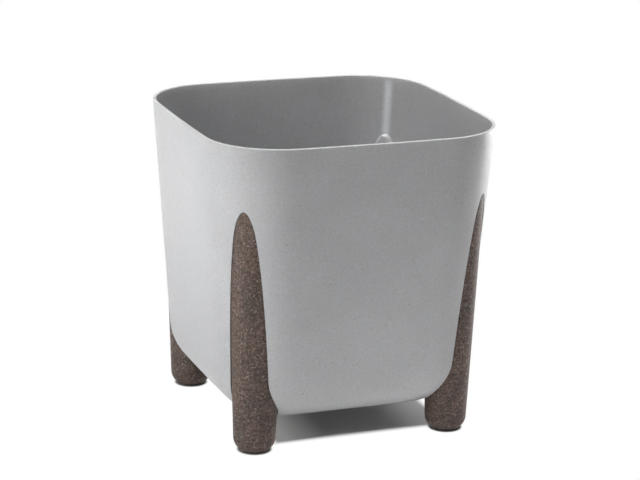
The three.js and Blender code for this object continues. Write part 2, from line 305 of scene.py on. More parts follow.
def softened(profile, radius):
    """Rounds the bends of a profile of (radius, height) points, apart from its two ends."""
    points = [Vector(p) for p in profile]
    soft = [points[0]]
    for before, bend, after in zip(points, points[1:], points[2:]):
        reach = min(radius, LINE_SHARE * (before - bend).length, LINE_SHARE * (after - bend).length)
        start = bend + (before - bend).normalized() * reach
        end = bend + (after - bend).normalized() * reach
        for step in range(SOFT_STEPS + 1):
            share = step / SOFT_STEPS
            soft.append(mix(mix(start, bend, share), mix(bend, end, share), share))
    return soft + [points[-1]]


def turned(name, profile, closed=False):
    """A round form about +Z from (radius, height) points, listed upwards on the outside."""
    profile = list(profile)
    if closed:
        profile.append(profile[0])
    count = len(profile)
    points, faces = [], []
    for step in range(TURNED_STEPS):
        turn = WHOLE_TURN * step / TURNED_STEPS
        points += [(r * math.cos(turn), r * math.sin(turn), h) for r, h in profile]
        here = step * count
        there = (step + 1) % TURNED_STEPS * count
        faces += [(here + i, there + i, there + i + 1, here + i + 1) for i in range(count - 1)]
    return welded(mesh_from(name, points, faces))


# Node trees


class Nodes:
    """Adds nodes to a tree and links them by short calls."""

    def __init__(self, tree):
        self.tree = tree

    def add(self, kind, inputs=None, **settings):
        node = self.tree.nodes.new(kind)
        for key, value in settings.items():
            setattr(node, key, value)
        for key, value in (inputs or {}).items():
            self.put(node.inputs[key], value)
        return node

    def put(self, socket, value):
        """Links a field or a socket, or sets a plain value. A colour is given as three numbers."""
        if isinstance(value, Field):
            value = value.socket
        if isinstance(value, bpy.types.NodeSocket):
            self.tree.links.new(value, socket)
        elif socket.type == "RGBA":
            socket.default_value = (*value, 1.0)
        else:
            socket.default_value = value

    def axes(self, vector):
        """The three parts of a vector."""
        return [Field(self, part) for part in self.add("ShaderNodeSeparateXYZ", {0: vector}).outputs]

    def blend(self, share, first, second):
        inputs = {"Factor": share, "A": first, "B": second}
        return self.add("ShaderNodeMix", inputs, data_type="RGBA").outputs["Result"]

    def group(self, name, make, inputs):
        """Places a shared group, which is made the first time that it is asked for."""
        tree = bpy.data.node_groups.get(name) or make(name)
        return self.add("ShaderNodeGroup", inputs, node_tree=tree).outputs


class Field:
    """A number in a node tree that adds, multiplies and compares as plain numbers do."""

    def __init__(self, nodes, socket):
        self.nodes = nodes
        self.socket = socket

    def joined(self, operation, *others):
        inputs = dict(enumerate((self, *others)))
        return Field(self.nodes, self.nodes.add("ShaderNodeMath", inputs, operation=operation).outputs[0])

    def root(self):
        return self.most(0.0).joined("SQRT")

    def clamped(self):
        return self.most(0.0).least(1.0)

    def remainder(self):
        """What is left of one."""
        return self * -1.0 + 1.0

    def ramp(self, low, high, start=0.0, end=1.0):
        """Goes smoothly from start to end as the number goes from low to high."""
        inputs = {"Value": self, "From Min": low, "From Max": high, "To Min": start, "To Max": end}
        node = self.nodes.add("ShaderNodeMapRange", inputs, interpolation_type="SMOOTHSTEP")
        return Field(self.nodes, node.outputs["Result"])


FIELD_OPERATIONS = {
    "__add__": "ADD",
    "__sub__": "SUBTRACT",
    "__mul__": "MULTIPLY",
    "__truediv__": "DIVIDE",
    "least": "MINIMUM",
    "most": "MAXIMUM",
    "below": "LESS_THAN",
    "unsigned": "ABSOLUTE",
    "sine": "SINE",
    "cosine": "COSINE",
}
for method, operation in FIELD_OPERATIONS.items():
    setattr(Field, method, partialmethod(Field.joined, operation))


def new_group(kind, name, inputs, outputs):
    """A node group with sockets of the given types: its nodes, and what its input node gives."""
    tree = bpy.data.node_groups.new(name, kind)
    for in_out, sockets in (("INPUT", inputs), ("OUTPUT", outputs)):
        for label, type_name in sockets.items():
            tree.interface.new_socket(label, in_out=in_out, socket_type="NodeSocket" + type_name)
    nodes = Nodes(tree)
    return nodes, nodes.add("NodeGroupInput").outputs


def numbers(labels):
    """A plain number's socket for each label."""
    return dict.fromkeys(labels, "Float")


# Geometry node trees


def geometry_group(name, sizes):
    """A geometry tree that takes a form, a material and its named sizes."""
    form = {"Geometry": "Geometry"}
    return new_group("GeometryNodeTree", name, {**form, "Material": "Material", **sizes}, form)


def close_tree(nodes, given, geometry):
    """Ends a tree: copies become real, points that meet are welded, and the material is set."""
    realized = nodes.add("GeometryNodeRealizeInstances", {"Geometry": geometry}).outputs["Geometry"]
    weld = nodes.add("GeometryNodeMergeByDistance", {"Geometry": realized, "Distance": WELD})
    finish = nodes.add("GeometryNodeSetMaterial", {"Geometry": weld.outputs["Geometry"]})
    nodes.put(finish.inputs["Material"], given["Material"])
    nodes.add("NodeGroupOutput", {"Geometry": finish.outputs["Geometry"]})
    return nodes.tree


def add_tree(piece, tree, values):
    """Adds a tree to a piece, with its inputs set by their identifiers."""
    modifier = piece.modifiers.new(tree.name, "NODES")
    modifier.node_group = tree
    for item in tree.interface.items_tree:
        if item.in_out == "INPUT" and item.name in values:
            modifier[item.identifier] = values[item.name]


def corners_tree(name):
    """Repeats a corner's geometry round the pot."""
    nodes, given = geometry_group(name, {"First turn": "Float", "Corners": "Int"})
    places = nodes.add("GeometryNodeMeshLine", {"Count": given["Corners"], "Offset": (0, 0, 0)})
    index = Field(nodes, nodes.add("GeometryNodeInputIndex").outputs["Index"])
    turn = index / given["Corners"] * WHOLE_TURN + given["First turn"]
    rotation = nodes.add("FunctionNodeAxisAngleToRotation", {"Angle": turn})
    copies = nodes.add("GeometryNodeInstanceOnPoints", {"Points": places.outputs["Mesh"]})
    nodes.put(copies.inputs["Instance"], given["Geometry"])
    nodes.put(copies.inputs["Rotation"], rotation.outputs["Rotation"])
    return close_tree(nodes, given, copies.outputs["Instances"])


def round_the_corners(piece, material):
    """Repeats what a piece shows at each corner, as one plain mesh."""
    name = "Round the corners"
    tree = bpy.data.node_groups.get(name) or corners_tree(name)
    add_tree(piece, tree, {"First turn": EIGHTH_TURN, "Corners": len(CORNERS), "Material": material})
    return settle(piece)


def leg_values(settings):
    """The named inputs of the leg's tree, worked out from the sizes."""
    leg, underside = settings.leg, settings.fitting.glide_height
    return {
        "Foot reach": foot_reach(settings),
        "Head reach": head_reach(settings),
        "Tip reach": tip_reach(settings),
        "Tip height": leg.tip_height,
        "Foot radius": leg.foot_diameter / 2,
        "Head radius": leg.head_diameter / 2,
        "Back radius": leg.back_radius,
        "Edge rounding": leg.edge_rounding,
        "Foot rounding": leg.foot_rounding,
        "Foot start": foot_start(leg),
        "Foot middle": underside - leg.foot_undercut + leg.foot_rounding,
        "Underside": underside,
        "Flat radius": foot_flat_radius(settings),
        "Core mouth": core_radius(settings, underside),
        "Core end": core_radius(settings, underside + leg.core_depth),
        "Core top": underside + leg.core_depth,
    }


def leg_tree(values):
    """A leg from a grid: its columns go round and its rows run from the hollow to the tip."""
    nodes, given = geometry_group("Leg form", numbers(values))
    size = {label: Field(nodes, given[label]) for label in values}
    rows = sum(LEG_ROWS.values())
    counts = {"Size X": 1, "Size Y": 1, "Vertices X": LEG_COLUMNS + 1, "Vertices Y": rows + 1}
    grid = nodes.add("GeometryNodeMeshGrid", counts)
    x, y, _ = nodes.axes(nodes.add("GeometryNodeInputPosition").outputs["Position"])
    turn = (x + 0.5) * WHOLE_TURN
    row = (y + 0.5) * rows
    stage = {}
    first = 0
    for label, count in LEG_ROWS.items():
        stage[label] = ((row - first) / count).clamped()
        first += count
    bend = stage["foot"].remainder() * size["Foot start"]
    height = (
        size["Core top"]
        + (size["Underside"] - size["Core top"]) * stage["core"]
        + (size["Foot middle"] - size["Foot rounding"] * bend.sine() - size["Underside"])
        + (size["Tip height"] - size["Foot middle"]) * (stage["rise"] * QUARTER_TURN).sine()
    )
    share = height / size["Tip height"]
    outer_middle = mix(size["Foot reach"], size["Head reach"], share)
    back_middle = mix(size["Foot reach"], size["Tip reach"], share)
    drawn_in = size["Foot rounding"] * bend.cosine().remainder()
    outer = mix(size["Foot radius"], size["Head radius"], share) - drawn_in
    back = size["Back radius"] * (share * share).remainder().root()
    inner_side = (outer_middle - outer).most(back_middle - back)
    outer_side = (outer_middle + outer).least(back_middle + back)
    middle = (inner_side + outer_side) * 0.5

    def ray(circle_middle, radius):
        offset = circle_middle - middle
        across = offset * turn.sine()
        return offset * turn.cosine() + (radius * radius - across * across).root()

    to_outer = ray(outer_middle, outer)
    to_back = ray(back_middle, back)
    soft = size["Edge rounding"].least((outer_side - inner_side) * DEPTH_SHARE).most(WELD)
    lean = ((to_back - to_outer) / soft * 0.5 + 0.5).clamped()
    body_radius = mix(to_back, to_outer, lean) - soft * lean * lean.remainder()
    hollow_radius = (
        size["Core end"] * stage["cap"]
        + (size["Core mouth"] - size["Core end"]) * stage["core"]
        + (size["Flat radius"] - size["Core mouth"]) * stage["land"]
    )
    hollow_rows = LEG_ROWS["cap"] + LEG_ROWS["core"] + LEG_ROWS["land"]
    hollow = row.below(hollow_rows - 0.5)
    radius = mix(body_radius, hollow_radius, hollow)
    out = mix(middle, size["Foot reach"], hollow) + radius * turn.cosine()
    point = nodes.add("ShaderNodeCombineXYZ", {"X": out, "Y": radius * turn.sine(), "Z": height})
    moved = nodes.add("GeometryNodeSetPosition", {"Geometry": grid.outputs["Mesh"]})
    nodes.put(moved.inputs["Position"], point.outputs["Vector"])
    return close_tree(nodes, given, moved.outputs["Geometry"])


# The pot's section and the leg's, in the frame of a corner

# How much wider than the leg a form is at the ground and at the tip, and how much further out its head is
Fit = namedtuple("Fit", "mouth tip proud")
LEG_FIT = Fit(0.0, 0.0, 0.0)


def socket_fit(settings):
    leg = settings.leg
    return Fit(leg.mouth_clearance, leg.clearance, leg.head_depth)


def lining_fit(settings):
    leg, wall = settings.leg, settings.pot.wall
    return Fit(leg.mouth_clearance + wall, leg.clearance + wall, 0.0)


# The corner's radius and the side's, how far past the middle the side's arc is centred, how far out along
# X and Y the corner's arc is centred, and the direction from the side's centre in which the two meet
Arcs = namedtuple("Arcs", "radius side_radius offset corner meet")


def pot_arcs(pot, z):
    """The corner arc and the side arc of the pot's section at height z."""
    share = (z - pot.underside) / (pot.height - pot.underside)
    half = mix(pot.base_width, pot.rim_width, share) / 2
    radius = mix(pot.base_corner_radius, pot.rim_corner_radius, share)
    bow = mix(pot.base_bow, pot.rim_bow, share)
    side_radius = (half**2 + bow**2) / (2 * bow)
    offset = side_radius - half
    corner = (math.sqrt(2 * (side_radius - radius) ** 2 - offset**2) - offset) / 2
    return Arcs(radius, side_radius, offset, corner, math.atan2(corner, corner + offset))


def corner_reach(pot, z):
    arcs = pot_arcs(pot, z)
    return math.sqrt(2) * arcs.corner + arcs.radius


def foot_reach(settings):
    return corner_reach(settings.pot, settings.pot.underside) - settings.leg.foot_inset


def tip_reach(settings):
    return corner_reach(settings.pot, settings.leg.tip_height) - settings.leg.tip_depth


def head_reach(settings):
    leg = settings.leg
    return corner_reach(settings.pot, leg.tip_height) - leg.head_depth - leg.head_diameter / 2


def outside_radius(leg, z, fit):
    share = z / leg.tip_height
    return mix(leg.foot_diameter, leg.head_diameter, share) / 2 + mix(fit.mouth, fit.tip, share)


def back_radius(leg, z, fit):
    """Radius at height z of the pointed back form, grown by the fit square to its surface."""
    turn = np.linspace(0, QUARTER_TURN, SEARCH_STEPS)
    across, along = np.cos(turn), np.sin(turn)
    grown = np.stack([across / leg.back_radius, along / leg.tip_height])
    grown *= fit.tip / np.linalg.norm(grown, axis=0)
    radii = leg.back_radius * across + grown[0]
    return float(np.interp(z, leg.tip_height * along + grown[1], radii, right=0.0))


class Lens:
    """The section at height z of a leg, or of a form that fits it: where two circles overlap."""

    def __init__(self, settings, z, fit):
        leg = settings.leg
        share = z / leg.tip_height
        foot = foot_reach(settings)
        outer = (mix(foot, head_reach(settings) + fit.proud, share), outside_radius(leg, z, fit))
        back = (mix(foot, tip_reach(settings), share), back_radius(leg, z, fit))
        self.circles = (outer, back)
        self.inner_side = max(middle - radius for middle, radius in self.circles)
        self.outer_side = min(middle + radius for middle, radius in self.circles)
        self.middle = (self.inner_side + self.outer_side) / 2

    def outside(self, points):
        """Above zero outside the lens and below zero in it."""
        gaps = [np.hypot(points[:, 0] - middle, points[:, 1]) - radius for middle, radius in self.circles]
        return np.maximum(*gaps)

    def edge(self, turns):
        """Points of the edge in the directions turns from the middle."""
        reach = []
        for middle, radius in self.circles:
            offset = middle - self.middle
            inside = np.maximum(radius**2 - (offset * np.sin(turns)) ** 2, 0)
            reach.append(offset * np.cos(turns) + np.sqrt(inside))
        least = np.minimum(*reach)
        return np.stack([self.middle + least * np.cos(turns), least * np.sin(turns)], axis=1)


def back_reach(settings, z, fit):
    return Lens(settings, z, fit).inner_side


def foot_start(leg):
    """The angle at which the rounding of a foot leaves its flat ring."""
    return math.asin(1 - leg.foot_undercut / leg.foot_rounding)


def foot_flat_radius(settings):
    leg = settings.leg
    outside = outside_radius(leg, settings.fitting.glide_height, LEG_FIT)
    return outside - leg.foot_rounding * (1 - math.cos(foot_start(leg)))


def core_radius(settings, z):
    """The radius of the leg's hollow at height z."""
    leg, low = settings.leg, settings.fitting.glide_height
    mouth = foot_flat_radius(settings) - leg.foot_land
    end = foot_reach(settings) - back_reach(settings, low + leg.core_depth, LEG_FIT) - leg.core_wall
    return mix(mouth, end, (z - low) / leg.core_depth)


def seat_reach(settings):
    fitting = settings.fitting
    return back_reach(settings, fitting.screw_height, lining_fit(settings)) - fitting.seat_proud


def screw_reach(settings):
    fitting = settings.fitting
    return seat_reach(settings) - 2 * fitting.contact_gap - fitting.seal_thickness


# The pot's skin, as rows of points over half a corner

# How far in from the pot's outside a skin lies, the height of its flat bottom, the fit of its lenses, the
# rounding of their edges, and whether their tops are ledges
Skin = namedtuple("Skin", "inset bottom fit edge ledged")


def wall_length(pot, z, inset):
    arcs = pot_arcs(pot, z)
    return (arcs.radius - inset) * (EIGHTH_TURN - arcs.meet) + (arcs.side_radius - inset) * arcs.meet


def wall_points(pot, z, inset, along):
    """Points of the wall's section, drawn in by inset, at distances along it from the diagonal."""
    arcs = pot_arcs(pot, z)
    bend = arcs.radius - inset
    side = arcs.side_radius - inset
    bend_turn = EIGHTH_TURN - arcs.meet
    along = np.asarray(along, dtype=float)
    on_bend = along < bend * bend_turn
    turn = np.where(on_bend, along / bend, bend_turn + (along - bend * bend_turn) / side)
    radius = np.where(on_bend, bend, side)
    x = np.where(on_bend, math.sqrt(2) * arcs.corner, -arcs.offset / math.sqrt(2))
    y = np.where(on_bend, 0.0, -arcs.offset / math.sqrt(2))
    return np.stack([x + radius * np.cos(turn), y + radius * np.sin(turn)], axis=1)


def passed_lengths(points):
    """How far along a line each of its points lies."""
    steps = np.linalg.norm(np.diff(points, axis=0), axis=1)
    return np.concatenate([[0.0], np.cumsum(steps)])


def ledge_line(pot, z, top, back):
    """The back of a lining, brought out near its top to a rounded ledge over an upright face.

    The change from one to the other is as tall as that face, and lies just under it.
    """
    rounded = np.clip((z - top) / pot.ledge_rounding + 1, 0, 1)
    depth = pot.ledge_depth * math.sqrt(1 - rounded**2)
    x, y = back[-1]
    across = np.linspace(0, 1, len(back))
    ledge = np.stack([x - depth * (1 - across**LEDGE_FLATNESS), y * across], axis=1)
    share = np.clip((z - top) / pot.ledge_height + 2, 0, 1)
    return mix(back, ledge, share * share * (3 - 2 * share))


def skin_row(settings, z, inset, fit, edge, ledge_top=None):
    """Half a corner's section at height z: round the back of the lens, over its edge and along the wall."""
    pot = settings.pot
    whole = wall_length(pot, z, inset)
    meeting = 0.0
    back = np.repeat(wall_points(pot, z, inset, [0.0]), 2, axis=0)
    if fit is not None:
        lens = Lens(settings, z, fit)
        search = np.linspace(0, whole, SEARCH_STEPS)
        gaps = lens.outside(wall_points(pot, z, inset, search))
        if gaps[0] < 0:
            past = int(np.argmax(gaps > 0))
            share = gaps[past - 1] / (gaps[past - 1] - gaps[past])
            meeting = float(mix(search[past - 1], search[past], share))
            x, y = wall_points(pot, z, inset, [meeting])[0]
            back = lens.edge(np.linspace(math.pi, math.atan2(y, x - lens.middle), SEARCH_STEPS))
            if ledge_top is not None:
                back = ledge_line(pot, z, ledge_top, back)
    passed = passed_lengths(back)
    reach = min(edge, LINE_SHARE * passed[-1])
    stops = np.linspace(0, passed[-1] - reach, BACK_COLUMNS + 1)
    hidden = np.stack([np.interp(stops, passed, back[:, axis]) for axis in (0, 1)], axis=1)
    shares = np.linspace(0, 1, WALL_COLUMNS + 1)
    wall = wall_points(pot, z, inset, mix(meeting + reach, whole, shares))
    bend = wall_points(pot, z, inset, [meeting])[0]
    over = []
    for step in range(1, EDGE_COLUMNS + 1):
        share = step / (EDGE_COLUMNS + 1)
        over.append(mix(mix(hidden[-1], bend, share), mix(bend, wall[0], share), share))
    flat = np.concatenate([hidden, over, wall])
    return np.column_stack([flat, np.full(len(flat), z)])


def skin_inset(pot, skin, z):
    """How far in from the pot's outside a skin lies at height z, with the bottom rounding."""
    rounding = pot.bottom_rounding - skin.inset
    down = max(rounding - (z - skin.bottom), 0.0)
    return skin.inset + (rounding - math.sqrt(max(rounding**2 - down**2, 0.0)))


def opening_span(settings, skin, top):
    """The lowest and highest height at which the skin meets its lens."""
    pot = settings.pot

    def meets(z):
        corner = np.array([[corner_reach(pot, z) - skin_inset(pot, skin, z), 0.0]])
        return Lens(settings, z, skin.fit).outside(corner)[0] < 0

    def border(apart, together):
        for _ in range(HALVINGS):
            half = (apart + together) / 2
            apart, together = (apart, half) if meets(half) else (half, together)
        return apart

    heights = np.linspace(skin.bottom, top, SEARCH_STEPS)
    meeting = [z for z in heights if meets(z)]
    step = heights[1] - heights[0]
    return border(meeting[0] - step, meeting[0]), border(meeting[-1] + step, meeting[-1])


def skin_levels(settings, skin, low, high, top):
    """Heights of a skin's rows from its flat bottom up, closer where an opening begins and ends."""
    rounding = settings.pot.bottom_rounding - skin.inset
    last_turn = math.acos(1 - (low - skin.bottom) / rounding)
    turns = np.linspace(0, last_turn, PLAIN_ROWS, endpoint=False)
    rounded = skin.bottom + rounding * (1 - np.cos(turns))
    eased = (1 - np.cos(np.linspace(0, np.pi, OPENING_ROWS + 1))) / 2
    plain = np.linspace(high, top, PLAIN_ROWS + 1)[1:-1]
    return np.concatenate([rounded, mix(low, high, eased), plain])


def skin_rows(settings, skin, top):
    low, high = opening_span(settings, skin, top)
    ledge_top = high if skin.ledged else None
    rows = []
    for z in skin_levels(settings, skin, low, high, top):
        inset = skin_inset(settings.pot, skin, z)
        rows.append(skin_row(settings, z, inset, skin.fit, skin.edge, ledge_top))
    return rows


def quarter_round(radius):
    """How far each row over a quarter rounding lies along the first face and in from it."""
    turns = np.linspace(0, QUARTER_TURN, ROUNDING_ROWS + 1)
    return [(radius * math.sin(turn), radius * (1 - math.cos(turn))) for turn in turns]


def rim_rows(settings):
    """Rows over the rim, from the top of the outer wall to the top of the inner one."""
    pot = settings.pot
    low = pot.height - pot.rim_rounding
    over = [(low + rise, inset) for rise, inset in quarter_round(pot.rim_rounding)]
    back = [(z, pot.wall - inset) for z, inset in reversed(over)]
    return [skin_row(settings, z, inset, None, 0.0) for z, inset in over + back]


def drain_rows(settings, first_row):
    """Rows down through the drain hole, from the floor's face to the underside."""
    pot, plug = settings.pot, settings.plug
    widest = plug.stem_diameter / 2 + plug.clearance + pot.drain_rounding
    bends = [(widest - along, down) for along, down in quarter_round(pot.drain_rounding)]
    profile = [(radius, pot.underside + pot.floor - down) for radius, down in bends]
    profile += [(radius, pot.underside + up) for radius, up in reversed(bends)]
    turns = np.arctan2(first_row[:, 1], first_row[:, 0])
    circle = np.column_stack([np.cos(turns), np.sin(turns)])
    return [np.column_stack([radius * circle, np.full(len(turns), z)]) for radius, z in profile]


def flat_rows(inner, outer):
    """Rows across a flat face between two rows."""
    return [mix(inner, outer, step / FLAT_ROWS) for step in range(1, FLAT_ROWS)]


def pot_corner_mesh(settings):
    """A quarter of the pot's closed skin, with a flag on the points of its inside."""
    pot = settings.pot
    wall_top = pot.height - pot.rim_rounding
    outer_skin = Skin(0.0, pot.underside, socket_fit(settings), pot.mouth_rounding, False)
    inner_skin = Skin(pot.wall, pot.underside + pot.floor, lining_fit(settings), pot.lining_fillet, True)
    outer = skin_rows(settings, outer_skin, wall_top)
    inner = skin_rows(settings, inner_skin, wall_top)[::-1]
    drain = drain_rows(settings, outer[0])
    outside = [drain[-1]] + flat_rows(drain[-1], outer[0]) + outer + rim_rows(settings)
    inside = inner + flat_rows(inner[-1], drain[0])
    rows = outside + inside + drain
    flags = [0.0] * len(outside) + [1.0] * len(inside) + [0.0] * len(drain)
    columns = len(rows[0])
    points, faces, marks = [], [], []
    for side in (1, -1):
        first = len(points)
        for row, flag in zip(rows, flags):
            points += [(x, side * y, z) for x, y, z in row]
            marks += [flag] * columns
        for i in range(len(rows) - 1):
            for j in range(columns - 1):
                low = first + i * columns + j
                high = low + columns
                face = (low, low + 1, high + 1, high)
                faces.append(face if side > 0 else face[::-1])
    mesh = mesh_from("pot corner", points, faces)
    mark = mesh.attributes.new("inside", "FLOAT", "POINT")
    mark.data.foreach_set("value", marks)
    return welded(mesh)


# Small pieces, in the frame of a corner


def along_screw(settings, mesh, reach):
    """Lays an upright form along the corner's screw axis: its +Z then points out along the diagonal."""
    place = Matrix.Translation((reach, 0, settings.fitting.screw_height))
    mesh.transform(place @ Matrix.Rotation(QUARTER_TURN, 4, "Y"))
    return mesh


def rod_profile(radius, deep):
    return [(0, 0), (radius, 0), (radius, deep), (0, deep)]


def glide_mesh(settings):
    fitting = settings.fitting
    top = fitting.glide_height - fitting.contact_gap
    edge = foot_flat_radius(settings) - fitting.glide_setback
    end = top + fitting.spigot_length
    spigot = [(core_radius(settings, z) - fitting.glide_clearance, z) for z in (top, end)]
    profile = [(0, 0), (edge, 0), (edge, top), *spigot, (0, end)]
    mesh = turned("glide", softened(profile, FITTING_ROUNDING))
    mesh.transform(Matrix.Translation((foot_reach(settings), 0, 0)))
    return mesh


def screw_mesh(settings):
    fitting = settings.fitting
    head, shank = fitting.head_diameter / 2, fitting.screw_diameter / 2
    dome = fitting.head_height - fitting.head_rim
    steps = TURNED_STEPS // 4
    profile = [(0.0, -fitting.head_height)]
    for step in range(1, steps + 1):
        turn = QUARTER_TURN * (1 - step / steps)
        profile.append((head * math.cos(turn), -fitting.head_rim - dome * math.sin(turn)))
    shoulder = fitting.screw_length - fitting.screw_point
    profile += [(head, 0), (shank, 0), (shank, shoulder), (0, fitting.screw_length)]
    return along_screw(settings, turned("screw", profile), screw_reach(settings))


def drive_mesh(settings):
    """The crossed slots of a screw's head, as one closed form."""
    fitting = settings.fitting
    long, wide = fitting.drive_length / 2, fitting.drive_width / 2
    ring = []
    for turn in range(4):
        quarter = Matrix.Rotation(turn * QUARTER_TURN, 2)
        ring += [quarter @ Vector(p) for p in ((wide, wide), (wide, long), (-wide, long))]
    count = len(ring)
    low, high = -fitting.head_height - fitting.drive_depth, -fitting.head_height + fitting.drive_depth
    points = [(x, y, low) for x, y in ring]
    points += [(DRIVE_TAPER * x, DRIVE_TAPER * y, high) for x, y in ring]
    faces = [tuple(range(count))[::-1], tuple(range(count, 2 * count))]
    faces += [(i, (i + 1) % count, count + (i + 1) % count, count + i) for i in range(count)]
    return along_screw(settings, mesh_from("drive", points, faces), screw_reach(settings))


def bore_radius(fitting):
    return fitting.screw_diameter / 2 + fitting.screw_clearance


def seal_mesh(settings):
    fitting = settings.fitting
    inner, outer = bore_radius(fitting), fitting.seal_diameter / 2
    thick = fitting.seal_thickness
    middle = (inner + outer) / 2
    profile = [(middle, 0), (outer, 0), (outer, thick), (inner, thick), (inner, 0), (middle, 0)]
    mesh = turned("seal", softened(profile, FITTING_ROUNDING)[:-1], closed=True)
    return along_screw(settings, mesh, screw_reach(settings) + fitting.contact_gap)


def seat_depth(settings):
    """From the pad's face to a place well inside the lining's wall."""
    return settings.fitting.seat_proud + settings.pot.wall / 2


def seat_mesh(settings):
    """The flat pad that stands off a socket's lining under the seal."""
    profile = rod_profile(settings.fitting.seat_diameter / 2, seat_depth(settings))
    return along_screw(settings, turned("seat", softened(profile, FITTING_ROUNDING)), seat_reach(settings))


def bore_mesh(settings, deep):
    """What is cut out round a screw, from just inside the pot."""
    fitting = settings.fitting
    mesh = turned("bore", rod_profile(bore_radius(fitting), deep))
    return along_screw(settings, mesh, seat_reach(settings) - fitting.seat_proud)


def plug_mesh(settings):
    pot, plug = settings.pot, settings.plug
    stem, flange = plug.stem_diameter / 2, plug.flange_diameter / 2
    neck, knob = plug.neck_diameter / 2, plug.knob_diameter / 2
    low = pot.underside - plug.reach
    seat = pot.underside + pot.floor + settings.fitting.contact_gap
    flange_top = seat + plug.flange_thickness
    knob_low = flange_top + plug.neck_height
    knob_top = knob_low + plug.knob_height
    knob_middle = mix(knob_low, knob_top, 0.5)
    profile = [(0, low), (stem - plug.stem_taper / 2, low), (stem, seat)]
    profile += [(flange, seat), (flange, flange_top), (neck, flange_top)]
    profile += [(neck, knob_low), (knob, knob_low), (knob, knob_middle), (neck, knob_top), (0, knob_top)]
    return turned("plug", softened(profile, PLUG_ROUNDING))


# Shader node groups that the finishes share

# The scale of the noise that bends the specks' cells, and a speck's radius as a share of Size: the least,
# and what chance adds
SPECK_WANDER = 1.7
SPECK_LEAST = 0.4
SPECK_CHANCE = 0.6
GRAIN_DETAIL = {"Broad": 3.0, "Fine": 2.0}


def shader_group(name, sizes, results):
    return new_group("ShaderNodeTree", name, {"Vector": "Vector", **numbers(sizes)}, numbers(results))


def specks_group(name):
    """Specks of uneven size scattered through a material: Share of the cells hold one."""
    nodes, given = shader_group(name, ("Scale", "Share", "Size", "Softness"), ("Mask",))
    inputs = {"Vector": given["Vector"], "Scale": given["Scale"]}
    scaled = nodes.add("ShaderNodeVectorMath", inputs, operation="SCALE").outputs["Vector"]
    wander = nodes.add("ShaderNodeTexNoise", {"Vector": scaled, "Scale": SPECK_WANDER, "Detail": 0.0})
    warped = nodes.add("ShaderNodeVectorMath", {0: wander.outputs["Color"], 1: scaled}, operation="ADD")
    cells = nodes.add("ShaderNodeTexVoronoi", {"Vector": warped.outputs["Vector"], "Scale": 1.0}).outputs
    chances = nodes.add("ShaderNodeSeparateColor", {"Color": cells["Color"]}).outputs
    first, second, third = [Field(nodes, chance) for chance in chances]
    radius = second.joined("MULTIPLY_ADD", SPECK_CHANCE, SPECK_LEAST) * given["Size"]
    core = radius * Field(nodes, given["Softness"]).remainder()
    disc = Field(nodes, cells["Distance"]).ramp(radius, core)
    nodes.add("NodeGroupOutput", {"Mask": disc * first.below(given["Share"]) * third})
    return nodes.tree


def grain_group(name):
    """Broad clouds and fine grain of a moulded surface, each about one half."""
    nodes, given = shader_group(name, [label + " scale" for label in GRAIN_DETAIL], GRAIN_DETAIL)
    end = nodes.add("NodeGroupOutput")
    for label, detail in GRAIN_DETAIL.items():
        inputs = {"Vector": given["Vector"], "Scale": given[label + " scale"], "Detail": detail}
        nodes.put(end.inputs[label], nodes.add("ShaderNodeTexNoise", inputs).outputs["Fac"])
    return nodes.tree


# Finishes

# A finish's broad and fine scale, and the strength and height of the bump that its fine grain makes
Grain = namedtuple("Grain", "broad fine bump height")
POT_GRAIN = Grain(14, 900, 0.12, 0.15 * MM)
LEG_GRAIN = Grain(60, 420, 0.25, 0.25 * MM)
RUBBER_GRAIN = Grain(90, 1100, 0.20, 0.10 * MM)
STEEL_GRAIN = Grain(250, 2200, 0.15, 0.05 * MM)

# Specks: their scale, the share of places that hold one, their size and softness, and how strong they are
Specks = namedtuple("Specks", "scale share size softness strength")
POT_FIBRES = Specks(300, 0.45, 0.30, 0.6, 0.75)
POT_PALE_GRAINS = Specks(420, 0.40, 0.45, 0.7, 0.6)
LEG_FLECKS = (Specks(560, 0.60, 0.62, 0.5, 1.0), Specks(300, 0.30, 0.34, 0.5, 1.0))
DUST_SPECKS = Specks(900, 0.12, 0.40, 0.8, 0.25)

# Ramps over the grain: where each starts and ends, and what it gives there
POT_CLOUDS = (0.3, 0.7, 0.965, 1.035)
POT_SPECKLE = (0.25, 0.75, 0.89, 1.11)
POT_ROUGHNESS = (0.3, 0.7, 0.44, 0.52)
# The next two break up and fade the painted highlight inside the pot
HIGHLIGHT_BREAKS = (0.35, 0.6, 0.7, 1.0)
HIGHLIGHT_WANING = (0.35, 0.6, 0.85, 1.0)
LEG_PATCHES = (0.35, 0.65)
LEG_SPECKLE = (0.3, 0.7, 0.5, 1.5)
LEG_ROUGHNESS = (0.3, 0.7, 0.62, 0.74)
RUBBER_CLOUDS = (0.3, 0.7, 0.8, 1.25)
RUBBER_ROUGHNESS = (0.3, 0.7, 0.7, 0.85)
STEEL_TARNISH = (0.3, 0.7, 0.85, 1.08)
STEEL_ROUGHNESS = (0.3, 0.7, 0.26, 0.4)

# The painted highlight, a pale band inside the pot: how it fades to its sides, and where above a leg's tip
# it starts and is full
HIGHLIGHT_BAND = (0.5 * MM, 10.5 * MM, 1.0, 0.0)
HIGHLIGHT_START = 1 * MM
HIGHLIGHT_FULL = 6 * MM

WHITE = (1.0, 1.0, 1.0)
FLOOR_ROUGHNESS = 0.9
FLOOR_SPECULAR = 0.1
# The part of the floor that shows the pot's shadow: half its depth and width, its middle from left to
# right, its soft border, and how much it thins out to the left and right of a dark core
SHADOW_DEPTH = 0.099
SHADOW_WIDTH = 0.0955
SHADOW_MIDDLE = 0.0145
SHADOW_FADE = 0.013
SHADOW_CORE = 0.025
SHADOW_THINNING = 0.2
# How far round the flat of a foot the floor shows the foot's own shadow
FOOT_SHADOW = 0.0035


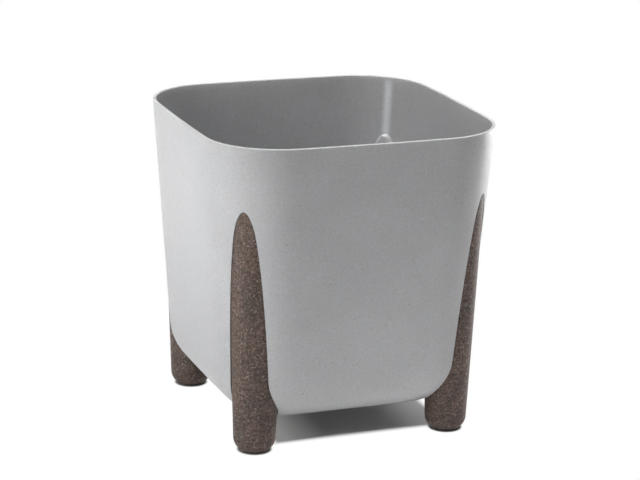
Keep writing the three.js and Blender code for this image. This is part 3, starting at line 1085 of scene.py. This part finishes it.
class Finish(Nodes):
    """A material in the making."""

    def __init__(self, name):
        self.material = bpy.data.materials.new(name)
        self.material.use_nodes = True
        super().__init__(self.material.node_tree)
        self.shader = self.tree.nodes["Principled BSDF"]
        self.place = self.add("ShaderNodeTexCoord").outputs["Object"]

    def grained(self, grain):
        """Gives the surface its bump, and returns the broad clouds and the fine grain."""
        inputs = {"Vector": self.place, "Broad scale": grain.broad, "Fine scale": grain.fine}
        noises = self.group("Moulded grain", grain_group, inputs)
        inputs = {"Height": noises["Fine"], "Strength": grain.bump, "Distance": grain.height}
        self.put(self.shader.inputs["Normal"], self.add("ShaderNodeBump", inputs).outputs["Normal"])
        return Field(self, noises["Broad"]), Field(self, noises["Fine"])

    def toned(self, shade, value):
        """A shade made lighter or darker."""
        return self.add("ShaderNodeHueSaturation", {"Color": shade, "Value": value}).outputs["Color"]

    def specked(self, shade, specks, tint):
        """A shade with specks of another colour scattered through it."""
        inputs = {"Vector": self.place, "Scale": specks.scale, "Share": specks.share}
        inputs.update({"Size": specks.size, "Softness": specks.softness})
        mask = Field(self, self.group("Specks", specks_group, inputs)["Mask"])
        return self.blend(mask * specks.strength, shade, tint)

    def surface(self, shade, rough):
        self.put(self.shader.inputs["Base Color"], shade)
        self.put(self.shader.inputs["Roughness"], rough)
        return self.material


def pot_finish(settings):
    """Light grey plastic with fine fibres, a fine moulded grain, and a painted highlight: a pale band
    inside the pot above two sockets.
    """
    colours = settings.colours
    finish = Finish("pot plastic")
    broad, fine = finish.grained(POT_GRAIN)
    shade = finish.toned(colours.pot, broad.ramp(*POT_CLOUDS) * fine.ramp(*POT_SPECKLE))
    shade = finish.specked(shade, POT_FIBRES, colours.pot_dark_speck)
    shade = finish.specked(shade, POT_PALE_GRAINS, colours.pot_pale_speck)
    # Painted highlight: a pale band laid into the colour inside the pot, above two sockets
    line = painted_highlight_mask(finish, settings.leg.tip_height)
    line *= fine.ramp(*HIGHLIGHT_BREAKS) * broad.ramp(*HIGHLIGHT_WANING)
    return finish.surface(finish.blend(line, shade, colours.painted_highlight), broad.ramp(*POT_ROUGHNESS))


def painted_highlight_mask(finish, tip_height):
    """A painted highlight: a narrow upright band on the pot's inside, above the sockets on one diagonal."""
    x, y, z = finish.axes(finish.place)
    band = (x - y).unsigned().ramp(*HIGHLIGHT_BAND)
    above = z.ramp(tip_height + HIGHLIGHT_START, tip_height + HIGHLIGHT_FULL)
    return band * above * finish.add("ShaderNodeAttribute", attribute_name="inside").outputs["Fac"]


def leg_finish(settings):
    """Brown composite with pale fibres of two sizes and darker patches."""
    colours = settings.colours
    finish = Finish("leg composite")
    broad, fine = finish.grained(LEG_GRAIN)
    shade = finish.blend(broad.ramp(*LEG_PATCHES), colours.leg_shade, colours.leg)
    shade = finish.toned(shade, fine.ramp(*LEG_SPECKLE))
    for flecks in LEG_FLECKS:
        shade = finish.specked(shade, flecks, colours.leg_fleck)
    return finish.surface(shade, broad.ramp(*LEG_ROUGHNESS))


def rubber_finish(name, rubber, dust):
    """Matt rubber with faint clouds and pale dust specks."""
    finish = Finish(name)
    broad, _ = finish.grained(RUBBER_GRAIN)
    shade = finish.toned(rubber, broad.ramp(*RUBBER_CLOUDS))
    return finish.surface(finish.specked(shade, DUST_SPECKS, dust), broad.ramp(*RUBBER_ROUGHNESS))


def steel_finish(settings):
    """Stainless steel with fine uneven gloss and faint tarnish."""
    finish = Finish("screw steel")
    broad, fine = finish.grained(STEEL_GRAIN)
    finish.shader.inputs["Metallic"].default_value = 1.0
    shade = finish.toned(settings.colours.steel, broad.ramp(*STEEL_TARNISH))
    return finish.surface(shade, fine.ramp(*STEEL_ROUGHNESS))


def backdrop_rays(nodes):
    """One for the rays that show the backdrop itself: to the camera, off a gloss or through glass."""
    path = nodes.add("ShaderNodeLightPath").outputs
    shown = Field(nodes, path["Is Camera Ray"]).most(path["Is Transmission Ray"])
    return shown.most(path["Is Glossy Ray"])


def floor_finish(settings):
    """White floor that shows the shadow of the pot and its feet, and is plain white further out."""
    colours = settings.colours
    finish = Finish("studio floor")
    seen = finish.add("ShaderNodeLightPath").outputs["Is Camera Ray"]
    finish.surface(finish.blend(seen, colours.floor, colours.floor_shadow), FLOOR_ROUGHNESS)
    finish.shader.inputs["Specular IOR Level"].default_value = FLOOR_SPECULAR
    x, y, _ = finish.axes(finish.place)
    sideways = (x - SHADOW_MIDDLE).unsigned()
    past_depth = y.unsigned().ramp(SHADOW_DEPTH - SHADOW_FADE, SHADOW_DEPTH)
    past_width = sideways.ramp(SHADOW_WIDTH - SHADOW_FADE, SHADOW_WIDTH)
    thinned = sideways.ramp(SHADOW_CORE, SHADOW_WIDTH, 0.0, SHADOW_THINNING)
    quarter = finish.add("ShaderNodeVectorMath", {0: finish.place}, operation="ABSOLUTE").outputs["Vector"]
    foot = foot_reach(settings) / math.sqrt(2)
    to_foot = finish.add("ShaderNodeVectorMath", {0: quarter, 1: (foot, foot, 0)}, operation="DISTANCE")
    flat = foot_flat_radius(settings)
    off_foot = Field(finish, to_foot.outputs["Value"]).ramp(flat, flat + FOOT_SHADOW)
    plain = past_depth.most(past_width).most(thinned) * off_foot * backdrop_rays(finish)
    white = finish.add("ShaderNodeEmission", {"Color": WHITE, "Strength": 1.0}).outputs["Emission"]
    shaders = {"Fac": plain, 1: finish.shader.outputs["BSDF"], 2: white}
    cover = finish.add("ShaderNodeMixShader", shaders)
    finish.put(finish.tree.nodes["Material Output"].inputs["Surface"], cover.outputs["Shader"])
    return finish.material


# Stage

FLOOR_HALF = 2.5
FLOOR_DROP = 0.2 * MM
# Each lamp's place, the point that it faces, its width and height, and its spread in degrees
Lamp = namedtuple("Lamp", "name place aim size spread")
LAMPS = (
    Lamp("key", (-1.5, -0.3, 1.1), (0, 0, 0.17), (1.0, 0.8), 180),
    Lamp("fill", (-1.6, -0.8, 0.45), (0, 0, 0.17), (1.0, 0.8), 180),
    Lamp("side", (-1.4, 0.2, 0.25), (0, 0.03, 0.26), (0.4, 0.1), 26),
    Lamp("top", (0.26, -0.2, 2.2), (0.26, -0.2, 0), (1.3, 1.4), 33),
    Lamp("edge", (1.45, 0.5, 0.05), (0.05, -0.05, 0.2), (0.6, 0.08), 60),
)


def add_camera(stage):
    turn, lift, roll = stage.azimuth, stage.elevation, stage.roll
    back = Vector((math.sin(turn) * math.cos(lift), -math.cos(turn) * math.cos(lift), math.sin(lift)))
    right = Vector((math.cos(turn), math.sin(turn), 0))
    up = back.cross(right)
    aim = Vector((0, 0, stage.aim_height)) + right * stage.aim_right
    rolled_right = right * math.cos(roll) + up * math.sin(roll)
    rolled_up = up * math.cos(roll) - right * math.sin(roll)
    camera = bpy.data.cameras.new("camera")
    camera.lens = stage.lens
    camera.sensor_width = stage.sensor
    holder = new_object("camera", camera)
    axes = Matrix((rolled_right, rolled_up, back)).transposed().to_4x4()
    holder.matrix_world = Matrix.Translation(aim + back * stage.distance) @ axes
    bpy.context.scene.camera = holder


def add_lamp(lamp, watts):
    light = bpy.data.lights.new(lamp.name, "AREA")
    light.shape = "RECTANGLE"
    light.size, light.size_y = lamp.size
    light.spread = math.radians(lamp.spread)
    light.energy = watts
    holder = new_object(lamp.name, light)
    holder.visible_camera = False
    direction = Vector(lamp.aim) - Vector(lamp.place)
    turn = direction.to_track_quat("-Z", "Y").to_matrix().to_4x4()
    holder.matrix_world = Matrix.Translation(lamp.place) @ turn


def add_world(stage):
    """White behind the object, and a plain level of light from all round."""
    world = bpy.data.worlds.new("studio")
    world.use_nodes = True
    bpy.context.scene.world = world
    nodes = Nodes(world.node_tree)
    background = world.node_tree.nodes["Background"].inputs
    nodes.put(background["Color"], WHITE)
    nodes.put(background["Strength"], backdrop_rays(nodes).ramp(0.0, 1.0, stage.ambient, 1.0))


def add_floor(settings):
    """A wide floor just under the feet."""
    corners = ((-1, -1), (1, -1), (1, 1), (-1, 1))
    points = [(x * FLOOR_HALF, y * FLOOR_HALF, -FLOOR_DROP) for x, y in corners]
    floor = new_object("studio_floor", mesh_from("studio floor", points, [(0, 1, 2, 3)]))
    floor.data.materials.append(floor_finish(settings))


# Operators


def at_corners(label):
    return [f"{label}_{corner}" for corner in CORNERS]


def corner_pieces(name, mesh, material):
    """A piece at each corner, from the mesh of one, as a single object."""
    return round_the_corners(new_object(name, mesh), material)


class PLANTER_OT_pot(bpy.types.Operator):
    """Build the pot, with a socket for a leg in each corner and a drain hole in its floor"""

    bl_idname = "planter.pot"
    bl_label = "Pot"
    bl_options = {"REGISTER", "UNDO"}

    def execute(self, context):
        settings = context.scene.planter
        finish = pot_finish(settings)
        pot = corner_pieces("pot", pot_corner_mesh(settings), finish)
        combine(pot, corner_pieces("seats", seat_mesh(settings), finish), "UNION")
        deep = settings.fitting.seat_proud + seat_depth(settings) + settings.pot.wall
        combine(pot, corner_pieces("bores", bore_mesh(settings, deep), finish), "DIFFERENCE")
        hand_over(pot, "pot", ["pot_shell"])
        return {"FINISHED"}


class PLANTER_OT_legs(bpy.types.Operator):
    """Build the four legs that are let into the pot's corners"""

    bl_idname = "planter.legs"
    bl_label = "Legs"
    bl_options = {"REGISTER", "UNDO"}

    def execute(self, context):
        settings = context.scene.planter
        finish = leg_finish(settings)
        legs = new_object("legs", bpy.data.meshes.new("legs"))
        values = leg_values(settings)
        add_tree(legs, leg_tree(values), {**values, "Material": finish})
        round_the_corners(legs, finish)
        deep = foot_reach(settings) - seat_reach(settings)
        combine(legs, corner_pieces("bores", bore_mesh(settings, deep), finish), "DIFFERENCE")
        hand_over(legs, "pot", at_corners("leg"))
        return {"FINISHED"}


class PLANTER_OT_glides(bpy.types.Operator):
    """Build the glides that plug the undersides of the legs"""

    bl_idname = "planter.glides"
    bl_label = "Foot glides"
    bl_options = {"REGISTER", "UNDO"}

    def execute(self, context):
        settings = context.scene.planter
        finish = rubber_finish("glide rubber", settings.colours.rubber, settings.colours.dust)
        glides = corner_pieces("foot_glides", glide_mesh(settings), finish)
        hand_over(glides, "pot", at_corners("foot_glide"))
        return {"FINISHED"}


class PLANTER_OT_screws(bpy.types.Operator):
    """Build the screws that hold the legs, with crossed slots in their heads"""

    bl_idname = "planter.screws"
    bl_label = "Leg screws"
    bl_options = {"REGISTER", "UNDO"}

    def execute(self, context):
        settings = context.scene.planter
        finish = steel_finish(settings)
        screws = corner_pieces("leg_screws", screw_mesh(settings), finish)
        combine(screws, corner_pieces("drives", drive_mesh(settings), finish), "DIFFERENCE")
        hand_over(screws, "pot", at_corners("leg_screw"))
        return {"FINISHED"}


class PLANTER_OT_seals(bpy.types.Operator):
    """Build the soft washers under the screws' heads"""

    bl_idname = "planter.seals"
    bl_label = "Seal washers"
    bl_options = {"REGISTER", "UNDO"}

    def execute(self, context):
        settings = context.scene.planter
        finish = rubber_finish("seal rubber", settings.colours.rubber, settings.colours.dust)
        seals = corner_pieces("seal_washers", seal_mesh(settings), finish)
        hand_over(seals, "pot", at_corners("seal_washer"))
        return {"FINISHED"}


class PLANTER_OT_plug(bpy.types.Operator):
    """Build the drain plug with its pull knob"""

    bl_idname = "planter.plug"
    bl_label = "Drain plug"
    bl_options = {"REGISTER", "UNDO"}

    def execute(self, context):
        settings = context.scene.planter
        finish = rubber_finish("plug rubber", settings.colours.plug, settings.colours.dust)
        plug = new_object("plug", plug_mesh(settings))
        plug.data.materials.append(finish)
        hand_over(plug, "plug", ["drain_plug"])
        return {"FINISHED"}


class PLANTER_OT_stage(bpy.types.Operator):
    """Set up the camera, the lamps and a plain floor"""

    bl_idname = "planter.stage"
    bl_label = "Studio"
    bl_options = {"REGISTER", "UNDO"}

    def execute(self, context):
        settings = context.scene.planter
        stage = settings.stage
        context.scene.view_settings.view_transform = "Standard"
        add_camera(stage)
        add_world(stage)
        add_floor(settings)
        for lamp in LAMPS:
            add_lamp(lamp, getattr(stage, lamp.name))
        return {"FINISHED"}


OPERATORS = (
    PLANTER_OT_stage,
    PLANTER_OT_pot,
    PLANTER_OT_legs,
    PLANTER_OT_glides,
    PLANTER_OT_screws,
    PLANTER_OT_seals,
    PLANTER_OT_plug,
)


class PLANTER_PT_panel(bpy.types.Panel):
    """The planter's pieces, sizes and colours, in the sidebar"""

    bl_label = "Square planter"
    bl_space_type = "VIEW_3D"
    bl_region_type = "UI"
    bl_category = "Planter"

    def draw(self, context):
        for operator in OPERATORS:
            self.layout.operator(operator.bl_idname)
        for label in PlanterSettings.__annotations__:
            box = self.layout.box()
            values = getattr(context.scene.planter, label)
            for value in values.__annotations__:
                box.prop(values, value)


CLASSES = (
    PlanterPotSizes,
    PlanterLegSizes,
    PlanterFittingSizes,
    PlanterPlugSizes,
    PlanterColours,
    PlanterStage,
    PlanterSettings,
    *OPERATORS,
    PLANTER_PT_panel,
)


def register():
    for made in CLASSES:
        bpy.utils.register_class(made)
    bpy.types.Scene.planter = group(PlanterSettings, "Planter", "Sizes, colours and stage of the planter")


def unregister():
    del bpy.types.Scene.planter
    for made in reversed(CLASSES):
        bpy.utils.unregister_class(made)


def main():
    register()
    bpy.ops.planter.stage()
    bpy.ops.planter.pot()
    bpy.ops.planter.legs()
    bpy.ops.planter.glides()
    bpy.ops.planter.screws()
    bpy.ops.planter.seals()
    bpy.ops.planter.plug()


if __name__ == "__main__":
    main()
